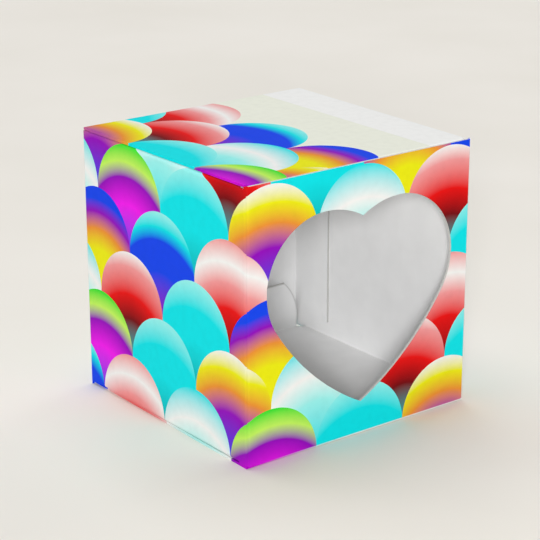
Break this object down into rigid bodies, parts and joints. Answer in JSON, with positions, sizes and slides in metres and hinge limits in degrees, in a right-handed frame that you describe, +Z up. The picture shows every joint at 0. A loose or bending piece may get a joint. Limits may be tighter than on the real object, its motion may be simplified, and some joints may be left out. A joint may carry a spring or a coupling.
{
  "type": "favor box",
  "caption": "Small cube favor box folded from one printed card sheet, with a heart-shaped open window in its front, a tuck-in hinged lid and a tuck-in base flap.",
  "frame": {"origin": "centre of the box's footprint, on the surface that it stands on", "axes": "+Z up, the heart window's wall faces -Y, +X to the right as seen from in front of the window"},
  "size_m": [0.0508, 0.0502, 0.0509],
  "materials": {
    "printed_card": "satin multicolour print outside, plain matte white card inside and on cut edges",
    "lid_card": "satin print outside, cream and white with coloured arcs, plain matte white inside",
    "base_card": "plain matte white card"
  },
  "bodies": {
    "carton": {"carton_body": "printed_card"},
    "lid": {"lid_flap": "lid_card"},
    "base": {"base_flap": "base_card"}
  },
  "joints": [
    {"name": "lid_hinge", "type": "hinge", "parent": "carton", "child": "lid", "pos_m": [0, 0.02497, 0.05072], "axis": [-1, 0, 0], "range_deg": [0, 175]},
    {"name": "base_hinge", "type": "hinge", "parent": "carton", "child": "base", "pos_m": [0, -0.02497, 0.00018], "axis": [-1, 0, 0], "range_deg": [0, 175]}
  ]
}
